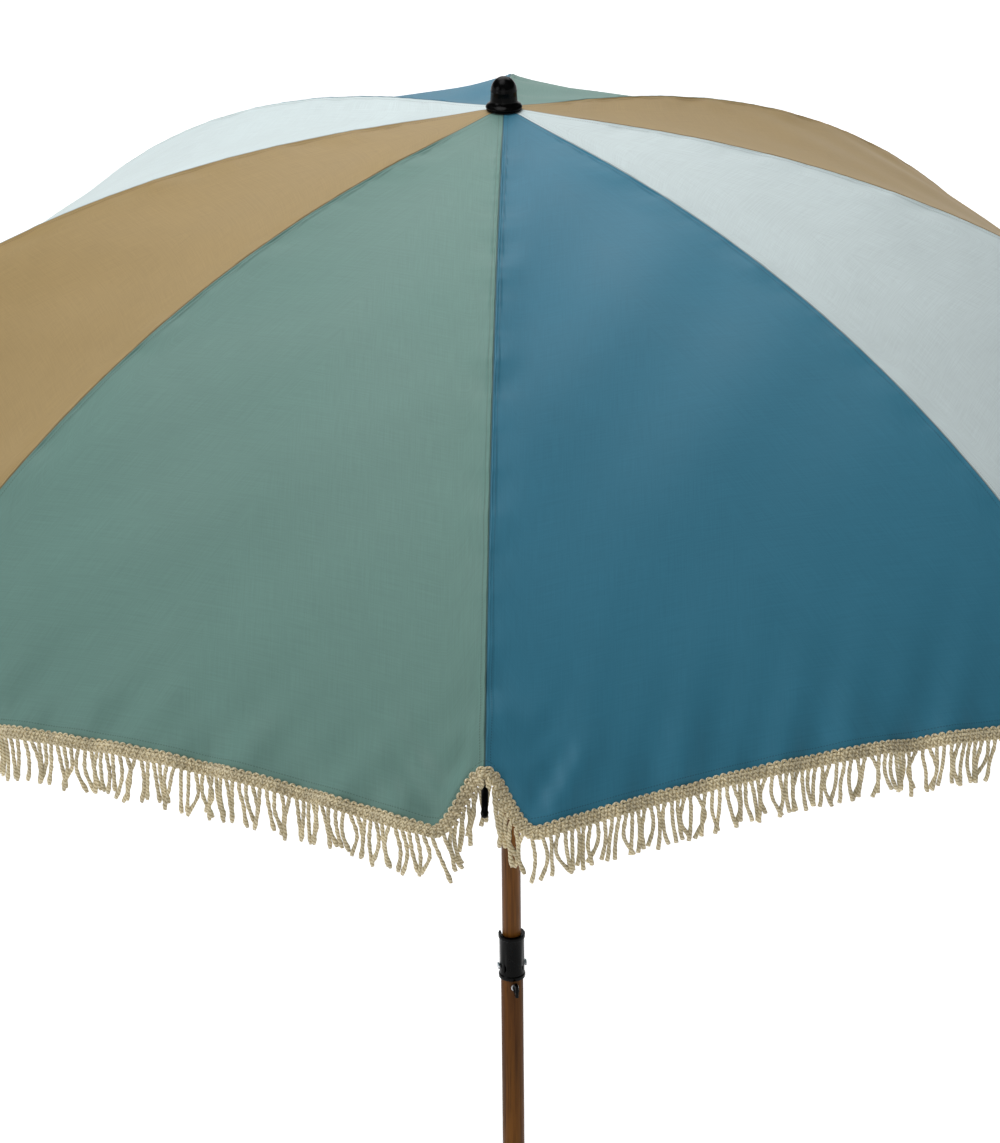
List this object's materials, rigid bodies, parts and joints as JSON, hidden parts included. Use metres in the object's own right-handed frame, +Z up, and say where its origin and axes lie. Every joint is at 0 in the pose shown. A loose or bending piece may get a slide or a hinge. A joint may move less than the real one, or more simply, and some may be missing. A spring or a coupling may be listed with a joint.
{
  "type": "beach umbrella",
  "caption": "Beach umbrella with a segmented four-colour canopy, a fringed hem, folding ribs and runner, and a tilting, telescoping wood-finished pole with a sand spike.",
  "frame": {"origin": "centre of the sand spike's flat tip, on the pole's axis", "axes": "+Z up along the pole to the crown; -Y is the front, over rib 1"},
  "size_m": [2.0626, 2.0626, 2.3842],
  "materials": {
    "cloth_blue": "woven, satin",
    "cloth_white": "woven, satin",
    "cloth_tan": "woven, satin",
    "cloth_sage": "woven, satin",
    "fringe_cotton": "twisted cotton, matte",
    "black_plastic": "moulded, glossy",
    "pole_wood": "stained and oiled",
    "rib_steel": "painted, satin",
    "bright_steel": "plated"
  },
  "bodies": {
    "lower_pole": {"lower_pole": "pole_wood", "sand_spike": "black_plastic", "screw_bushing": "bright_steel"},
    "height_screw": {"height_screw": "black_plastic"},
    "tilt_base": {"tilt_housing": "black_plastic", "inner_tube": "bright_steel", "tilt_pin": "bright_steel"},
    "upper_pole": {"upper_pole": "pole_wood", "tilt_knuckle": "black_plastic", "crown_hub": "black_plastic", "crown_hinge_wire": "bright_steel", "crown_washer": "black_plastic", "finial": "black_plastic"},
    "rib_1": {"rib_1": "rib_steel", "rib_tip_1": "black_plastic", "canopy_panel_1": "cloth_blue", "fringe_1": "fringe_cotton"},
    "stretcher_1": {"stretcher_1": "rib_steel"},
    "rib_2": {"rib_2": "rib_steel", "rib_tip_2": "black_plastic", "canopy_panel_2": "cloth_white", "fringe_2": "fringe_cotton"},
    "stretcher_2": {"stretcher_2": "rib_steel"},
    "rib_3": {"rib_3": "rib_steel", "rib_tip_3": "black_plastic", "canopy_panel_3": "cloth_tan", "fringe_3": "fringe_cotton"},
    "stretcher_3": {"stretcher_3": "rib_steel"},
    "rib_4": {"rib_4": "rib_steel", "rib_tip_4": "black_plastic", "canopy_panel_4": "cloth_sage", "fringe_4": "fringe_cotton"},
    "stretcher_4": {"stretcher_4": "rib_steel"},
    "rib_5": {"rib_5": "rib_steel", "rib_tip_5": "black_plastic", "canopy_panel_5": "cloth_blue", "fringe_5": "fringe_cotton"},
    "stretcher_5": {"stretcher_5": "rib_steel"},
    "rib_6": {"rib_6": "rib_steel", "rib_tip_6": "black_plastic", "canopy_panel_6": "cloth_white", "fringe_6": "fringe_cotton"},
    "stretcher_6": {"stretcher_6": "rib_steel"},
    "rib_7": {"rib_7": "rib_steel", "rib_tip_7": "black_plastic", "canopy_panel_7": "cloth_tan", "fringe_7": "fringe_cotton"},
    "stretcher_7": {"stretcher_7": "rib_steel"},
    "rib_8": {"rib_8": "rib_steel", "rib_tip_8": "black_plastic", "canopy_panel_8": "cloth_sage", "fringe_8": "fringe_cotton"},
    "stretcher_8": {"stretcher_8": "rib_steel"},
    "runner": {"runner": "black_plastic", "runner_hinge_wire": "bright_steel", "lever_pin": "bright_steel"},
    "runner_lever": {"runner_lever": "black_plastic"}
  },
  "joints": [
    {"name": "height_screw_turn", "type": "hinge", "parent": "lower_pole", "child": "height_screw", "pos_m": [0.00501, -0.01936, 1.0345], "axis": [0.2504, -0.9681, 0], "range_deg": [0, 270]},
    {"name": "height_slide", "type": "slide", "parent": "lower_pole", "child": "tilt_base", "axis": [0, 0, 1], "range_m": [0, 0.3]},
    {"name": "tilt", "type": "hinge", "parent": "tilt_base", "child": "upper_pole", "pos_m": [0, 0, 1.064], "axis": [-0.9681, -0.2504, 0], "range_deg": [0, 30]},
    {"name": "rib_1_fold", "type": "hinge", "parent": "upper_pole", "child": "rib_1", "pos_m": [0, -0.024, 2.33], "axis": [1, 0, 0], "range_deg": [0, 64], "deforming": ["canopy_panel_1", "fringe_1"]},
    {"name": "stretcher_1_turn", "type": "hinge", "parent": "rib_1", "child": "stretcher_1", "pos_m": [0, -0.466, 2.22598], "axis": [1, 0, 0], "range_deg": [-128, 0]},
    {"name": "rib_2_fold", "type": "hinge", "parent": "upper_pole", "child": "rib_2", "pos_m": [0.01697, -0.01697, 2.33], "axis": [0.7071, 0.7071, 0], "range_deg": [0, 64], "deforming": ["canopy_panel_2", "fringe_2"]},
    {"name": "stretcher_2_turn", "type": "hinge", "parent": "rib_2", "child": "stretcher_2", "pos_m": [0.32951, -0.32951, 2.22598], "axis": [0.7071, 0.7071, 0], "range_deg": [-128, 0]},
    {"name": "rib_3_fold", "type": "hinge", "parent": "upper_pole", "child": "rib_3", "pos_m": [0.024, 0, 2.33], "axis": [0, 1, 0], "range_deg": [0, 64], "deforming": ["canopy_panel_3", "fringe_3"]},
    {"name": "stretcher_3_turn", "type": "hinge", "parent": "rib_3", "child": "stretcher_3", "pos_m": [0.466, 0, 2.22598], "axis": [0, 1, 0], "range_deg": [-128, 0]},
    {"name": "rib_4_fold", "type": "hinge", "parent": "upper_pole", "child": "rib_4", "pos_m": [0.01697, 0.01697, 2.33], "axis": [-0.7071, 0.7071, 0], "range_deg": [0, 64], "deforming": ["canopy_panel_4", "fringe_4"]},
    {"name": "stretcher_4_turn", "type": "hinge", "parent": "rib_4", "child": "stretcher_4", "pos_m": [0.32951, 0.32951, 2.22598], "axis": [-0.7071, 0.7071, 0], "range_deg": [-128, 0]},
    {"name": "rib_5_fold", "type": "hinge", "parent": "upper_pole", "child": "rib_5", "pos_m": [0, 0.024, 2.33], "axis": [-1, 0, 0], "range_deg": [0, 64], "deforming": ["canopy_panel_5", "fringe_5"]},
    {"name": "stretcher_5_turn", "type": "hinge", "parent": "rib_5", "child": "stretcher_5", "pos_m": [0, 0.466, 2.22598], "axis": [-1, 0, 0], "range_deg": [-128, 0]},
    {"name": "rib_6_fold", "type": "hinge", "parent": "upper_pole", "child": "rib_6", "pos_m": [-0.01697, 0.01697, 2.33], "axis": [-0.7071, -0.7071, 0], "range_deg": [0, 64], "deforming": ["canopy_panel_6", "fringe_6"]},
    {"name": "stretcher_6_turn", "type": "hinge", "parent": "rib_6", "child": "stretcher_6", "pos_m": [-0.32951, 0.32951, 2.22598], "axis": [-0.7071, -0.7071, 0], "range_deg": [-128, 0]},
    {"name": "rib_7_fold", "type": "hinge", "parent": "upper_pole", "child": "rib_7", "pos_m": [-0.024, 0, 2.33], "axis": [0, -1, 0], "range_deg": [0, 64], "deforming": ["canopy_panel_7", "fringe_7"]},
    {"name": "stretcher_7_turn", "type": "hinge", "parent": "rib_7", "child": "stretcher_7", "pos_m": [-0.466, 0, 2.22598], "axis": [0, -1, 0], "range_deg": [-128, 0]},
    {"name": "rib_8_fold", "type": "hinge", "parent": "upper_pole", "child": "rib_8", "pos_m": [-0.01697, -0.01697, 2.33], "axis": [0.7071, -0.7071, 0], "range_deg": [0, 64], "deforming": ["canopy_panel_8", "fringe_8"]},
    {"name": "stretcher_8_turn", "type": "hinge", "parent": "rib_8", "child": "stretcher_8", "pos_m": [-0.32951, -0.32951, 2.22598], "axis": [0.7071, -0.7071, 0], "range_deg": [-128, 0]},
    {"name": "runner_turn", "type": "hinge", "parent": "stretcher_1", "child": "runner", "pos_m": [0, -0.024, 2.12197], "axis": [1, 0, 0], "range_deg": [0, 64]},
    {"name": "lever_press", "type": "hinge", "parent": "runner", "child": "runner_lever", "pos_m": [0.00842, -0.02032, 2.07197], "axis": [0.9239, 0.3827, 0], "range_deg": [0, 6], "stiffness_Nm_per_rad": 0.4, "springref_deg": -8.59}
  ],
  "couplings": [
    {"joint": "stretcher_1_turn", "follows": "rib_1_fold", "ratio": -2},
    {"joint": "rib_2_fold", "follows": "rib_1_fold", "ratio": 1},
    {"joint": "stretcher_2_turn", "follows": "rib_1_fold", "ratio": -2},
    {"joint": "rib_3_fold", "follows": "rib_1_fold", "ratio": 1},
    {"joint": "stretcher_3_turn", "follows": "rib_1_fold", "ratio": -2},
    {"joint": "rib_4_fold", "follows": "rib_1_fold", "ratio": 1},
    {"joint": "stretcher_4_turn", "follows": "rib_1_fold", "ratio": -2},
    {"joint": "rib_5_fold", "follows": "rib_1_fold", "ratio": 1},
    {"joint": "stretcher_5_turn", "follows": "rib_1_fold", "ratio": -2},
    {"joint": "rib_6_fold", "follows": "rib_1_fold", "ratio": 1},
    {"joint": "stretcher_6_turn", "follows": "rib_1_fold", "ratio": -2},
    {"joint": "rib_7_fold", "follows": "rib_1_fold", "ratio": 1},
    {"joint": "stretcher_7_turn", "follows": "rib_1_fold", "ratio": -2},
    {"joint": "rib_8_fold", "follows": "rib_1_fold", "ratio": 1},
    {"joint": "stretcher_8_turn", "follows": "rib_1_fold", "ratio": -2},
    {"joint": "runner_turn", "follows": "rib_1_fold", "ratio": 1}
  ]
}
